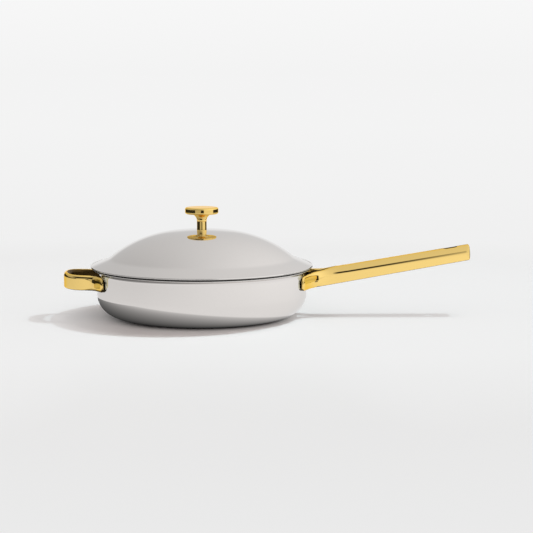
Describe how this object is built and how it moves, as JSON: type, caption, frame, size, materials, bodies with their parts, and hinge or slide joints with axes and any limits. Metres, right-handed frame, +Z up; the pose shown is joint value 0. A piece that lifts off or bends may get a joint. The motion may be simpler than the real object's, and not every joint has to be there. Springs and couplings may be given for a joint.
{
  "type": "frying pan with lid",
  "caption": "Round polished steel frying pan with a domed lift-off lid, a turned gold-toned knob, a forked gold-toned long handle with a hanging slot and a looped helper handle.",
  "frame": {"origin": "centre of the flat base, on the surface that the pan stands on", "axes": "+Z up along the axis of the pan and lid, +X from the pan's centre along the long handle, +Y to the handle's left"},
  "size_m": [0.5137, 0.2796, 0.138],
  "materials": {
    "polished_steel": "mirror-polished stainless steel",
    "polished_gold": "mirror-polished gold tone",
    "plain_steel": "plain zinc-grey steel"
  },
  "bodies": {
    "pan": {"pan_body": "polished_steel", "long_handle": "polished_gold", "helper_handle": "polished_gold", "long_handle_rivet_front": "polished_gold", "long_handle_rivet_back": "polished_gold", "helper_rivet_front": "polished_gold", "helper_rivet_back": "polished_gold"},
    "lid": {"lid_shell": "polished_steel", "knob_stem": "polished_gold", "knob_head": "polished_gold", "screw_washer": "plain_steel", "knob_screw": "plain_steel"}
  },
  "joints": [
    {"name": "lid_lift", "type": "slide", "parent": "pan", "child": "lid", "axis": [0, 0, 1], "range_m": [0, 0.15]}
  ]
}
